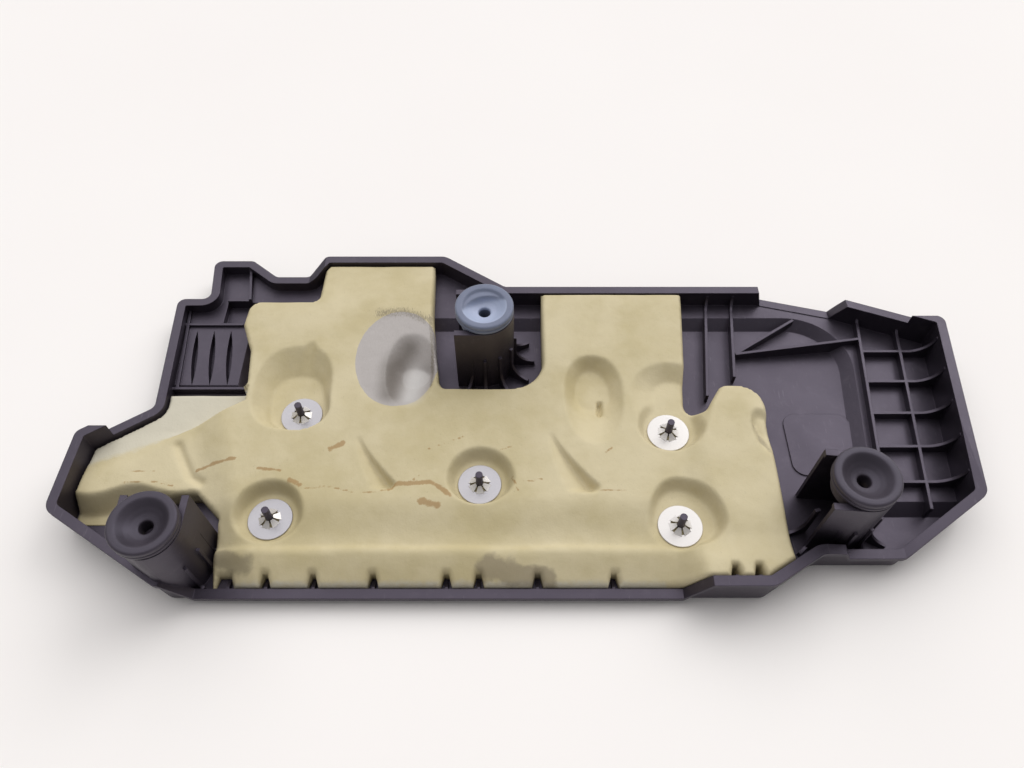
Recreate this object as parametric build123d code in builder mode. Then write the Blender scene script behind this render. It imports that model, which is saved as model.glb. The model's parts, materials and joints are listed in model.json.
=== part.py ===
from build123d import *
import os
from math import atan, atan2, cos, degrees, hypot, radians, sin

# Engine cover lying on its outer face with the open underside up, in millimetres.
# +X runs along the cover, +Y towards its far edge, +Z up out of the open side.

# Overall size and moulded section
length = 516.0
width = 231.0
skin = 2.5
wall = 3.0
lip_overhang = 2.5
lip_thickness = 3.0
hem_radius = 3.0
border_step = 5.5
border_slope = 7.0

# Outline of the lip, as runs along X and Y from one corner to the next
left_tip_rise = 42.5
left_chamfer_run = 69.0
left_end_lean = 2.0
shoulder_run = 35.0
shoulder_drop = 23.0
louvre_length = 84.0
louvre_lean = 6.0
louvre_run = 21.0
bay_lean = 4.0
bay_run = 26.0
bay_depth = 33.5
notch_left_run = 18.0
notch_floor_run = 22.0
notch_right_run = 10.0
notch_depth = 14.5
lobe_run = 80.0
far_slant_run = 40.0
far_edge_drop = 27.0
window_run = 50.0
far_right_run = 57.0
far_right_drop = 39.5
right_far_drop = 61.0
right_end_lean = 14.0
right_tip_rise = 49.5
right_chamfer_run = 47.0
near_step = 18.0
near_step_run = 29.0
bulge_setback = 135.0
corner_radius = 5.0
soft_corner_radius = 9.0

# Height of the lip above the outer face, zone by zone
rim_left = 26.0
rim_near_window = 8.0
rim_bulge = 27.0
rim_bulge_end = 23.5
rim_right_near = 17.5
rim_right_end = 30.0
rim_far_right = 23.0
rim_far = 20.0
rim_corner = 15.5
far_window_sill = 0.5
ramp_run = 12.0
step_run = 3.0
window_inset = 2.0
bulge_crest = 31.0

# Low centre panel, pressed out of the border all round its far side
panel_far_setback = 50.5
panel_right_setback = 57.0
panel_near_rise = 48.5
panel_corner_radius = 30.0
panel_louvre_inset = (56.0, 14.0)
well_run = 26.0
well_width = 18.0
well_setback = 15.0

# Rubber grommets: a flange above the plate, a neck in its slot and a tail below
grommet_neck_radius = 13.2
grommet_flange_lip = 3.8
grommet_flange = 6.0
grommet_tail_lip = 1.0
grommet_tail = 6.0
grommet_rim = 3.8
grommet_recess_depth = 9.5
grommet_seat_radius = 5.0
grommet_bore = 7.0
fit_gap = 0.3

# Mounting posts: their plan places and the side on which each slot opens
post_clearance = 0.5
post_wall = 2.5
post_top = 54.0
plate_thickness = 3.0
left_post_inset = (71.0, 19.5)
rear_post_inset = (11.3, 76.5)
right_post_inset = (90.0, 44.5)
post_open_angles = (90.0, 180.0, 175.0)
gusset_thickness = 1.8
gusset_height = 30.0
gusset_flat = 1.6
gusset_foot = 4.0
gusset_reaches = (3.6, 13.0, 12.0)
gusset_angles = ((25, -5, -40), (-115, -90, -60, -30, 0, 28), (195, 220, 245, 270, 300, 330))

# Foam pins, placed from the left end and the near edge, and the height that each push nut sits at
pin_radius = 2.0
pin_reach = 12.0
pin_insets = ((124.2, 109.5), (117.2, 42.5), (230.7, 63.0), (339.2, 96.0), (339.2, 37.5))
nut_seats = (12.0, 13.0, 14.0, 15.0, 15.0)
nut_radius = 12.0
nut_thickness = 0.6
nut_grip = 0.15
nut_teeth = 6
nut_crown_radius = 5.4
nut_crown_height = 2.0

# Foam pad: levels of its top and the gaps round it
foam_gap = 0.6
foam_post_gap = 0.8
pin_hole_gap = 0.3
foam_top = 22.0
foam_far_top = 18.0
foam_near_top = 9.0
foam_bulge_top = 26.0
foam_arm_top = 16.5
foam_arm_corner = (68.0, 75.5)
foam_arm_angle = 19.0
foam_arm_slope = 24.5
foam_shelf_top = 13.0
foam_ridge_inset = 22.0
foam_fall_setback = 55.5

# Foam edges from the corner or post that each follows: place along X and Y, and corner radius
foam_louvre_edge = (
    (60.0, 11.0, 4.0),
    (57.0, 38.0, 4.0),
    (49.0, 58.0, 4.0),
    (50.0, 78.0, 9.0),
    (93.5, 78.0, 4.0),
)
foam_right_edge = (
    (158.2, 196.5, 0.0),
    (166.0, 107.5, 8.0),
    (154.0, 107.5, 4.0),
    (143.5, 124.7, 7.0),
    (118.5, 124.7, 15.0),
    (121.0, 85.5, 20.0),
)
foam_post_edge = (
    (-39.0, 24.0, 4.0),
    (-19.0, 36.0, 4.0),
    (3.0, 38.0, 4.0),
    (21.0, 22.0, 4.0),
    (23.5, -14.0, 0.0),
)
foam_shelf_edge = ((15.0, -26.0), (42.0, -9.5))
rear_bay_sides = (-27.0, 34.5)
rear_bay_flare = (12.0, 2.0)
rear_bay_radii = (4.0, 20.0)

# Dishes in the foam: round each nut, and as bowls of place, half sizes along X and Y, and depth
dish_margin = 1.5
dish_slope = 9.0
dish_sides = 16
bowl_lean = 45.0
bowls = (
    ((120.0, 135.5), (26.0, 28.0), 8.0),
    ((293.2, 122.5), (15.0, 23.0), 7.0),
    ((178.0, 145.5), (16.0, 22.0), 6.0),
)
notch_wall_gap = 2.4
notch_tip_gap = 0.4
notch_end_gap = 1.5

# Ribs: section, then the lattice of the right end, the open panel and the louvre bay
rib = 1.8
rib_height = 5.5
rib_round_share = 0.95
gusset_round_share = 0.9
lattice_setbacks = (47.0, 23.0)
lattice_count = 5
lattice_pitch = 22.8
lattice_far_setback = 74.5
panel_rib_walls = (139.5, 123.0)
panel_rib_feet = ((148.6, 125.5), (130.0, 139.5))
brace_setbacks = (72.5, 64.5)
brace_inset = 4.0
diagonal_run = (41.0, 26.0)
louvre_far_rib = (44.0, 16.5)
louvre_near_rib = (57.5, 17.5)
rail_inset = 7.0
bay_rib_inset = 2.0
edge_rib_insets = (99.2, 119.2, 144.2, 175.7, 214.2, 231.2, 262.2, 302.2)
bulge_rib_setbacks = (18.0, 6.0)
edge_rib_reach = 5.5

# Louvres, hollow ridges on the outer face, and the low pad on the open panel
slit_count = 3
slit_inset = (14.6, 20.5)
slit_pitch = 10.9
slit_length = 42.8
slit_width = 3.4
slit_wall = 1.2
slit_depth = 4.0
pad_inset = (84.0, 95.5)
pad_size = (40.0, 42.0)
pad_radius = 8.0
pad_rise = 0.8

# Edges and levels that follow from the sizes above
x_left, x_right = -length / 2, length / 2
y_near, y_far = -width / 2, width / 2
border_level = border_step + skin
tall = post_top + grommet_flange
past = length
on_floor = (Align.CENTER, Align.CENTER, Align.MIN)
y_right_near = y_near + near_step
y_far_edge = y_far - far_edge_drop
y_louvre_far = y_far - bay_depth
y_louvre_near = y_louvre_far - louvre_length
y_shoulder = y_louvre_near - shoulder_drop
y_split = y_shoulder + 2 * left_end_lean
x_shoulder = x_left + left_end_lean + shoulder_run
x_louvre = x_shoulder - louvre_lean
x_bay = x_louvre + louvre_run - bay_lean
x_notch = x_bay + bay_run + notch_left_run
x_lobe = x_notch + notch_floor_run + notch_right_run
x_far = x_lobe + lobe_run + far_slant_run
x_bulge = x_right - bulge_setback
x_window = x_right - far_right_run - window_run
end_slant = right_end_lean / (width - right_far_drop - right_tip_rise)
grommet_radius = grommet_neck_radius + grommet_flange_lip
grommet_tail_radius = grommet_neck_radius + grommet_tail_lip
grommet_recess_radius = grommet_radius - grommet_rim
post_radius = grommet_tail_radius + post_clearance + post_wall
pin_places = [(x_left + x, y_near + y) for x, y in pin_insets]
post_places = (
    (x_left + left_post_inset[0], y_near + left_post_inset[1]),
    (x_far - rear_post_inset[0], y_far - rear_post_inset[1]),
    (x_right - right_post_inset[0], y_near + right_post_inset[1]),
)

# Corners of the lip's outer edge with their radii, anticlockwise from the left tip
corners = (
    (x_left, y_near + left_tip_rise, soft_corner_radius),
    (x_left + left_chamfer_run, y_near, soft_corner_radius),
    (x_bulge, y_near, soft_corner_radius),
    (x_bulge + near_step_run, y_right_near, soft_corner_radius),
    (x_right - right_end_lean - right_chamfer_run, y_right_near, soft_corner_radius),
    (x_right - right_end_lean, y_near + right_tip_rise, soft_corner_radius),
    (x_right, y_far - right_far_drop, corner_radius),
    (x_right - far_right_run, y_far - far_right_drop, corner_radius),
    (x_window, y_far_edge, corner_radius),
    (x_far, y_far_edge, corner_radius),
    (x_lobe + lobe_run, y_far, soft_corner_radius),
    (x_lobe, y_far, corner_radius),
    (x_notch + notch_floor_run, y_far - notch_depth, corner_radius),
    (x_notch, y_far - notch_depth, corner_radius),
    (x_bay + bay_run, y_far, corner_radius),
    (x_bay, y_far, corner_radius),
    (x_bay + bay_lean, y_louvre_far, corner_radius),
    (x_louvre, y_louvre_far, corner_radius),
    (x_shoulder, y_louvre_near, corner_radius),
    (x_left + left_end_lean, y_shoulder, corner_radius),
)


def inset_face(inset):
    """The lip's outline moved inwards, with its corner radii kept concentric."""
    points, radii = [], []
    for i, (x, y, radius) in enumerate(corners):
        before = Vector(*corners[i - 1][:2])
        here = Vector(x, y)
        after = Vector(*corners[(i + 1) % len(corners)][:2])
        arriving = (here - before).normalized()
        leaving = (after - here).normalized()
        turn = arriving.cross(leaving).Z
        inward = Vector(-arriving.Y, arriving.X) + Vector(-leaving.Y, leaving.X)
        shift = inward * (inset / (1 + arriving.dot(leaving)))
        points.append(tuple(here + shift)[:2])
        radii.append(max(radius - inset, 1.0) if turn > 0 else radius + inset)
    with BuildSketch() as face:
        with BuildLine():
            FilletPolyline(*points, radius=radii, close=True)
        make_face()
    return face.sketch


lip_face = inset_face(0)
wall_face = inset_face(lip_overhang)
cavity_face = inset_face(lip_overhang + wall)
foam_face = inset_face(lip_overhang + wall + foam_gap)

# Low panel: its floor outline, open past the near and left walls
x_panel_left = x_louvre + panel_louvre_inset[0]
x_panel_right = x_right - panel_right_setback
y_panel_left = y_louvre_near + panel_louvre_inset[1]
y_panel_far = y_far - panel_far_setback
y_panel_near = y_near + panel_near_rise
y_well = y_louvre_far - well_setback
panel_corners = (
    (-past, -past),
    (past, -past),
    (past, y_panel_near),
    (x_panel_right + (y_panel_near - y_panel_far) * end_slant, y_panel_near),
    (x_panel_right, y_panel_far),
    (x_panel_left, y_panel_far),
    (x_panel_left, y_panel_left),
    (-past, y_panel_left),
)


def panel_face(spread):
    """The low panel's outline, widened by the slope that leads up to the border."""
    with BuildSketch() as face:
        with BuildLine():
            Polyline(*panel_corners, close=True)
        make_face()
        if spread:
            offset(amount=spread, kind=Kind.INTERSECTION)
        inner = face.vertices().filter_by(lambda v: x_left < v.X < x_right)
        far_right = inner.sort_by(lambda v: v.X + v.Y)[-1]
        fillet(far_right, panel_corner_radius + spread)
    return face.sketch


def panel_solid(base, well_wall):
    """The low panel's volume from its floor up to the border, with sloped sides and a square well."""
    run, across = well_run + well_wall, well_width + 2 * well_wall
    with BuildPart() as solid:
        with BuildSketch(Plane.XY.offset(base)):
            add(panel_face(0))
        with BuildSketch(Plane.XY.offset(base + border_step)):
            add(panel_face(border_slope))
        loft(ruled=True)
        with Locations((x_panel_left - run / 2, y_well + well_width / 2, base)):
            Box(run, across, border_step, align=on_floor)
    return solid.part


panel_outer = panel_solid(0, skin)
panel_inner = panel_solid(skin, 0)

# The step by which the border stands back from the panel's outer face
with BuildPart() as border_recess:
    with BuildSketch():
        Rectangle(2 * past, 2 * past)
    extrude(amount=border_step)
    add(panel_outer, mode=Mode.SUBTRACT)

# Everything inside the outer faces, filled and tall
with BuildPart() as body:
    with BuildSketch():
        add(wall_face)
    extrude(amount=tall)
    fillet(body.edges().group_by(Axis.Z)[0], hem_radius)
    add(border_recess.part, mode=Mode.SUBTRACT)

# The open inside of the shell: the pocket over the low panel, then all above the border
with BuildPart() as panel_pocket:
    with BuildSketch(Plane.XY.offset(skin)):
        add(cavity_face)
    extrude(amount=border_step)
    add(panel_inner, mode=Mode.INTERSECT)

with BuildPart() as cavity:
    with BuildSketch(Plane.XY.offset(border_level)):
        add(cavity_face)
    extrude(amount=tall)
    add(panel_pocket.part)

# What lies below the lip's top: one stepped profile for the near side, one for the far side
x_window_left = x_left + left_chamfer_run + ramp_run + window_inset
x_window_right = x_bulge - bulge_crest - ramp_run
near_profile = (
    (-past, 0),
    (-past, rim_left),
    (x_window_left - ramp_run, rim_left),
    (x_window_left, rim_near_window),
    (x_window_right, rim_near_window),
    (x_window_right + ramp_run, rim_bulge),
    (x_bulge, rim_bulge),
    (x_bulge + near_step_run + ramp_run, rim_bulge_end),
    (x_bulge + near_step_run + ramp_run + step_run, rim_right_near),
    (x_right - right_end_lean - right_chamfer_run, rim_right_near),
    (x_right - right_end_lean, rim_right_end),
    (past, rim_right_end),
    (past, 0),
)
far_profile = (
    (-past, 0),
    (-past, rim_corner),
    (x_lobe - notch_right_run, rim_corner),
    (x_lobe, rim_far),
    (x_window, rim_far),
    (x_window + step_run, border_level + far_window_sill),
    (x_right - far_right_run - 2 * window_inset, border_level + far_window_sill),
    (x_right - far_right_run + step_run, rim_far_right),
    (past, rim_far_right),
    (past, 0),
)

with BuildPart() as under_rim:
    with BuildSketch(Plane.XZ.offset(-y_split)):
        with BuildLine():
            Polyline(*near_profile, close=True)
        make_face()
    extrude(amount=past)
    with BuildSketch(Plane.XZ.offset(-y_split)):
        with BuildLine():
            Polyline(*far_profile, close=True)
        make_face()
    extrude(amount=-past)
    # The right end stays high as far as its corner
    y_right_step = y_far - right_far_drop + step_run / 2
    with Locations((x_right, (y_split + y_right_step) / 2, 0)):
        Box(far_right_run, y_right_step - y_split, rim_right_end, align=on_floor)


def upright_rib(start, end, tops, thickness=rib, bends=None):
    """A thin upright plate from start to end in plan, below a line of (distance, height) points."""
    run = Vector(end[0] - start[0], end[1] - start[1])
    upright = Plane(origin=(*start, 0), x_dir=(run.X, run.Y, 0), z_dir=(run.Y, -run.X, 0))
    outline = ((0, skin / 2), *tops, (run.length, skin / 2))
    with BuildSketch(upright) as side:
        with BuildLine():
            FilletPolyline(*outline, radius=bends or [0] * len(outline), close=True)
        make_face()
    extrude(side.sketch, amount=thickness / 2, both=True)


def straight_rib(start, end, start_top, end_top):
    """A rib whose top runs straight from one height to another."""
    run = hypot(end[0] - start[0], end[1] - start[1])
    upright_rib(start, end, ((0, start_top), (run, end_top)))


def rising_rib(start, end, height, wall_height):
    """A rib of even height whose top sweeps up in a quarter round to the wall at its end."""
    run = hypot(end[0] - start[0], end[1] - start[1])
    foot = run - rib
    tops = ((0, height), (foot, height), (foot, wall_height), (run, wall_height))
    upright_rib(start, end, tops, bends=[0, 0, rib_round_share * (wall_height - height), 0, 0, 0])


def edge_rib(x, wall_height):
    """A short rib that slopes from the near wall down to the floor and locates the foam."""
    tip = edge_rib_reach + wall / 2
    tops = ((0, wall_height), (wall, wall_height), (tip, skin + rib))
    upright_rib((x, near_wall_y), (x, near_wall_y + tip), tops)


def post_outline(radius):
    """Plan of a post: round at the back, square and open towards its +x side."""
    with BuildSketch() as plan:
        Circle(radius)
        with Locations((post_radius / 2, 0)):
            Rectangle(post_radius, 2 * radius)
    return plan.sketch


def post(place, open_angle):
    """A U-shaped hollow post under a plate slotted for the grommet's neck."""
    facing = (cos(radians(open_angle)), sin(radians(open_angle)), 0)
    ground = Plane(origin=(*place, skin / 2), x_dir=facing, z_dir=(0, 0, 1))
    with BuildSketch(ground) as wall_plan:
        add(post_outline(post_radius))
        add(post_outline(post_radius - post_wall), mode=Mode.SUBTRACT)
    extrude(wall_plan.sketch, amount=post_top - skin / 2)
    with BuildSketch(ground.offset(post_top - plate_thickness - skin / 2)) as plate_plan:
        add(post_outline(post_radius))
        add(post_outline(grommet_neck_radius + fit_gap), mode=Mode.SUBTRACT)
    extrude(plate_plan.sketch, amount=plate_thickness)


def gusset(place, angle, reach):
    """A curved buttress from the post's wall down to the floor."""
    way = (cos(radians(angle)), sin(radians(angle)))
    inner = post_radius - post_wall / 2
    outer = post_radius + reach
    start = (place[0] + way[0] * inner, place[1] + way[1] * inner)
    end = (place[0] + way[0] * outer, place[1] + way[1] * outer)
    shoulder = post_wall / 2 + gusset_flat
    foot_top = skin + gusset_foot
    bend = gusset_round_share * min(outer - inner - shoulder, gusset_height - foot_top)
    tops = ((0, gusset_height), (shoulder, gusset_height), (shoulder, foot_top), (outer - inner, foot_top))
    upright_rib(start, end, tops, thickness=gusset_thickness, bends=[0, 0, 0, bend, 0, 0])


def end_x(setback, y):
    """X of a line that runs beside the slanted right end, at a given setback from its lip."""
    return x_right - (y_far - right_far_drop - y) * end_slant - setback


# Posts, ribs and pins, trimmed to the outer faces
wall_middle = lip_overhang + wall / 2
far_wall_y = y_far_edge - wall_middle
near_wall_y = y_near + wall_middle
lattice_top = border_level + rib_height
louvre_top = border_level + rib
far_right_fall = (right_far_drop - far_right_drop) / far_right_run
with BuildPart() as inside:
    for i, place in enumerate(post_places):
        post(place, post_open_angles[i])
        for angle in gusset_angles[i]:
            gusset(place, angle, gusset_reaches[i])

    # Lattice along the slanted right end
    for setback in lattice_setbacks:
        y_lip = y_far - far_right_drop - (end_x(setback, 0) - x_right + far_right_run) * far_right_fall
        y_top = y_lip - wall_middle
        foot = (end_x(setback, y_panel_near), y_panel_near)
        rising_rib(foot, (end_x(setback, y_top), y_top), lattice_top, rim_far_right - lip_thickness)
    for i in range(lattice_count):
        y = y_far - lattice_far_setback - i * lattice_pitch
        start = (end_x(lattice_setbacks[0], y), y)
        rising_rib(start, (end_x(wall_middle, y), y), lattice_top, rim_right_end - lip_thickness)

    # Ribs across the open panel, with a brace and a diagonal from the second one
    for wall_setback, (foot_setback, foot_rise) in zip(panel_rib_walls, panel_rib_feet):
        foot = (x_right - foot_setback, y_near + foot_rise)
        rising_rib(foot, (x_right - wall_setback, far_wall_y), louvre_top, rim_far - lip_thickness)
    knot = (x_right - panel_rib_feet[1][0] + brace_inset, y_far - brace_setbacks[0])
    brace_y = y_far - brace_setbacks[1]
    straight_rib(knot, (end_x(lattice_setbacks[0], brace_y), brace_y), border_level, lattice_top)
    diagonal_end = (knot[0] + diagonal_run[0], knot[1] + diagonal_run[1])
    straight_rib(knot, diagonal_end, border_level, louvre_top)

    # Ribs of the louvre bay and the corner bays
    y_far_rib = y_louvre_far - louvre_far_rib[1]
    y_near_rib = y_louvre_near + louvre_near_rib[1]
    for y, reach in ((y_far_rib, louvre_far_rib[0]), (y_near_rib, louvre_near_rib[0])):
        x_wall = x_louvre + wall_middle + louvre_lean * (y_louvre_far - y) / louvre_length
        straight_rib((x_wall, y), (x_louvre + reach, y), louvre_top, louvre_top)
    rail_far = (x_louvre + rail_inset, y_louvre_far - wall_middle)
    straight_rib(rail_far, (rail_far[0] + louvre_lean, y_near_rib), louvre_top, louvre_top)
    bay_rib_far = (x_bay + bay_run - bay_rib_inset, y_far - wall_middle)
    bay_rib_near = (bay_rib_far[0] + bay_lean, y_well + well_width)
    rising_rib(bay_rib_near, bay_rib_far, border_level + 2 * rib, rim_corner - lip_thickness / 2)
    y_bay_edge = y_well + well_width + rib / 2
    straight_rib((x_panel_left - well_run, y_bay_edge), (bay_rib_near[0], y_bay_edge), louvre_top, louvre_top)

    # Short ribs that locate the foam along the near wall
    edge_rib_places = [x_left + inset for inset in edge_rib_insets]
    bulge_rib_places = [x_bulge - setback for setback in bulge_rib_setbacks]
    for x in edge_rib_places:
        edge_rib(x, rim_near_window - rib)
    for x in bulge_rib_places:
        edge_rib(x, rim_bulge - lip_thickness)

    # Pins for the push nuts
    for (x, y), seat in zip(pin_places, nut_seats):
        with Locations((x, y, skin / 2)):
            Cylinder(pin_radius, seat + pin_reach - skin / 2, align=on_floor)

    # Low rounded pad on the open panel
    with BuildSketch(Plane.XY.offset(skin / 2)):
        with Locations((x_right - pad_inset[0], y_near + pad_inset[1])):
            RectangleRounded(*pad_size, pad_radius)
    extrude(amount=skin / 2 + pad_rise)

    add(body.part, mode=Mode.INTERSECT)

# Lip that overhangs the wall and follows its steps
with BuildPart() as lip:
    with BuildSketch():
        add(lip_face)
        add(cavity_face, mode=Mode.SUBTRACT)
    extrude(amount=tall)
    add(under_rim.part, mode=Mode.INTERSECT)
    add(under_rim.part.moved(Location((0, 0, -lip_thickness))), mode=Mode.SUBTRACT)


def louvre_face(index):
    """Lens-shaped plan of one louvre."""
    far_tip = Vector(x_louvre + slit_inset[0] + index * slit_pitch, y_louvre_far - slit_inset[1])
    near_tip = far_tip + Vector(louvre_lean, -slit_length)
    middle = (far_tip + near_tip) / 2
    with BuildSketch() as face:
        with BuildLine():
            ThreePointArc(far_tip, middle + Vector(slit_width / 2, 0), near_tip)
            ThreePointArc(near_tip, middle - Vector(slit_width / 2, 0), far_tip)
        make_face()
    return face.sketch


os.makedirs("parts", exist_ok=True)

with BuildPart() as cover_shell:
    add(body.part)
    add(under_rim.part, mode=Mode.INTERSECT)
    add(cavity.part, mode=Mode.SUBTRACT)
    add(lip.part)
    add(inside.part)
    # Lens-shaped louvres: a ridge on the outer face, hollow from inside
    for i in range(slit_count):
        ridge_base = border_step - slit_depth
        with BuildSketch(Plane.XY.offset(ridge_base)):
            add(louvre_face(i))
            offset(amount=slit_wall)
        extrude(amount=slit_depth + skin / 2)
        with BuildSketch(Plane.XY.offset(ridge_base + slit_wall)):
            add(louvre_face(i))
        extrude(amount=louvre_top, mode=Mode.SUBTRACT)
cover_shell.part.label = "cover_shell"
export_step(cover_shell.part, "parts/cover_shell.step")

# Foam pad: its top, sloped to the near wall and the far edge, then dished
y_near_inside = y_near + lip_overhang + wall
x_bulge_foam = x_window_right + ramp_run / 2
foam_spans = ((-past, past + x_bulge_foam, foam_near_top), (x_bulge_foam, past, foam_bulge_top))
arm_way = Vector(cos(radians(foam_arm_angle)), sin(radians(foam_arm_angle)), 0)
arm_corner = (x_left + foam_arm_corner[0], y_near + foam_arm_corner[1], 0)
arm_side = Plane(origin=arm_corner, x_dir=arm_way, z_dir=(arm_way.Y, -arm_way.X, 0))
louvre_edge = [(x_louvre + x, y_louvre_near + y, radius) for x, y, radius in foam_louvre_edge]
shelf_edge = [*((x_louvre + x, y_louvre_near + y) for x, y in foam_shelf_edge), louvre_edge[0][:2]]
with BuildPart() as foam_form:
    for x_start, run, near_top in foam_spans:
        with BuildSketch(Plane.YZ.offset(x_start)):
            with BuildLine():
                Polyline(
                    (-past, 0),
                    (-past, near_top),
                    (y_near_inside, near_top),
                    (y_near + foam_ridge_inset, foam_top),
                    (y_far - foam_fall_setback, foam_top),
                    (y_far, foam_far_top),
                    (past, foam_far_top),
                    (past, 0),
                    close=True,
                )
            make_face()
        extrude(amount=run)
    with BuildSketch(arm_side):
        with BuildLine():
            Polyline(
                (-past, foam_arm_top),
                (0, foam_arm_top),
                (foam_arm_slope, foam_top),
                (foam_arm_slope, tall),
                (-past, tall),
                close=True,
            )
        make_face()
    extrude(amount=past, both=True, mode=Mode.SUBTRACT)
    with BuildSketch(Plane.XY.offset(foam_shelf_top)):
        with BuildLine():
            Polyline((-past, shelf_edge[0][1]), *shelf_edge, (-past, shelf_edge[-1][1]), close=True)
        make_face()
    extrude(amount=tall, mode=Mode.SUBTRACT)
    dish_radius = nut_radius + dish_margin
    for (x, y), seat in zip(pin_places, nut_seats):
        dish_depth = foam_bulge_top - seat
        flare = dish_slope / (foam_top - seat)
        with BuildSketch(Plane(origin=(x, y, foam_bulge_top), x_dir=(1, 0, 0), z_dir=(0, 0, -1))):
            RegularPolygon(dish_radius + flare * dish_depth, dish_sides, major_radius=False)
        extrude(amount=dish_depth, taper=degrees(atan(flare)), mode=Mode.SUBTRACT)
    turns = [radians(360 / dish_sides * i) for i in range(dish_sides)]
    for (x, y), (half_run, half_reach), depth in bowls:
        bowl_place = (x_left + x, y_near + y, foam_top)
        with BuildSketch(Plane(origin=bowl_place, x_dir=(1, 0, 0), z_dir=(0, 0, -1))):
            Polygon(*[(half_run * cos(turn), half_reach * sin(turn)) for turn in turns], align=None)
        extrude(amount=depth, taper=bowl_lean, mode=Mode.SUBTRACT)

# What is cut away from the shell's inside in plan: corner points and their radii
left_post, rear_post = post_places[:2]
y_rear_bay = rear_post[1] - post_radius - gusset_reaches[1] - foam_post_gap
right_edge = [(x_right - x, y_near + y, radius) for x, y, radius in foam_right_edge]
post_edge = [(left_post[0] + x, left_post[1] + y, radius) for x, y, radius in foam_post_edge]
foam_cuts = (
    [(-past, louvre_edge[0][1], 0), *louvre_edge, (louvre_edge[-1][0], past, 0), (-past, past, 0)],
    [
        (rear_post[0] + rear_bay_sides[0] - rear_bay_flare[0], past, 0),
        (rear_post[0] + rear_bay_sides[0], y_rear_bay, rear_bay_radii[0]),
        (rear_post[0] + rear_bay_sides[1], y_rear_bay, rear_bay_radii[1]),
        (rear_post[0] + rear_bay_sides[1] + rear_bay_flare[1], past, 0),
    ],
    [
        (right_edge[0][0], past, 0),
        *right_edge,
        (right_edge[-1][0], -past, 0),
        (past, -past, 0),
        (past, past, 0),
    ],
    [(-past, post_edge[0][1], 0), *post_edge, (post_edge[-1][0], -past, 0), (-past, -past, 0)],
)

with BuildPart() as foam_pad:
    with BuildSketch():
        add(foam_face)
        for cut in foam_cuts:
            points = [corner[:2] for corner in cut]
            radii = [corner[2] for corner in cut]
            with BuildLine():
                FilletPolyline(*points, radius=radii, close=True)
            make_face(mode=Mode.SUBTRACT)
        notch_reach = edge_rib_reach + notch_end_gap
        at_wall, at_tip = rib / 2 + notch_wall_gap, rib / 2 + notch_tip_gap
        notch_plan = ((-at_wall, 0), (at_wall, 0), (at_tip, notch_reach), (-at_tip, notch_reach))
        for x in edge_rib_places + bulge_rib_places:
            with Locations((x, y_near_inside)):
                Polygon(*notch_plan, align=None, mode=Mode.SUBTRACT)
        pin_hole = 2 * (pin_radius + pin_hole_gap)
        for place in pin_places:
            with Locations(place):
                Rectangle(pin_hole, pin_hole, mode=Mode.SUBTRACT)
    extrude(amount=tall)
    add(cavity.part, mode=Mode.INTERSECT)
    add(foam_form.part, mode=Mode.INTERSECT)
foam_pad.part.label = "foam_pad"
export_step(foam_pad.part, "parts/foam_pad.step")

# Rubber grommets, each slid into the slot of its post
grommet_profile = (
    (grommet_bore / 2, -plate_thickness - grommet_tail),
    (grommet_tail_radius, -plate_thickness - grommet_tail),
    (grommet_tail_radius, -plate_thickness),
    (grommet_neck_radius, -plate_thickness),
    (grommet_neck_radius, 0),
    (grommet_radius, 0),
    (grommet_radius, grommet_flange),
    (grommet_recess_radius, grommet_flange),
    (grommet_seat_radius, grommet_flange - grommet_recess_depth),
    (grommet_bore / 2, grommet_flange - grommet_recess_depth),
)
with BuildPart() as rubber_mounts:
    for place in post_places:
        with BuildSketch(Plane(origin=(*place, post_top), x_dir=(1, 0, 0), z_dir=(0, -1, 0))):
            with BuildLine():
                Polyline(*grommet_profile, close=True)
            make_face()
        revolve(axis=Axis((*place, 0), (0, 0, 1)))
rubber_mounts.part.label = "rubber_mounts"
export_step(rubber_mounts.part, "parts/rubber_mounts.step")

# Push nuts: a thin disc whose teeth bend up into a crown that grips the pin
nut_eye = pin_radius + nut_grip
nut_crown_lean = degrees(atan2(nut_crown_radius - nut_eye - nut_thickness, nut_crown_height))
with BuildPart() as push_nuts:
    for (x, y), seat in zip(pin_places, nut_seats):
        with BuildSketch(Plane.XY.offset(seat)):
            with Locations((x, y)):
                Circle(nut_radius)
        extrude(amount=nut_thickness)
        with BuildSketch(Plane.XY.offset(seat + nut_thickness)):
            with Locations((x, y)):
                RegularPolygon(nut_crown_radius, nut_teeth, major_radius=False)
        extrude(amount=nut_crown_height, taper=nut_crown_lean)
        with BuildSketch(Plane.XY.offset(seat)):
            with Locations((x, y)):
                RegularPolygon(nut_eye, nut_teeth, major_radius=False)
        extrude(amount=nut_thickness + nut_crown_height, mode=Mode.SUBTRACT)
push_nuts.part.label = "push_nuts"
export_step(push_nuts.part, "parts/push_nuts.step")
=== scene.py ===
import json
from math import cos, pi, radians, sin

import bmesh
import bpy
import numpy as np
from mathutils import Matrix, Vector, noise
from mathutils.bvhtree import BVHTree
from mathutils.geometry import delaunay_2d_cdt


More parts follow.
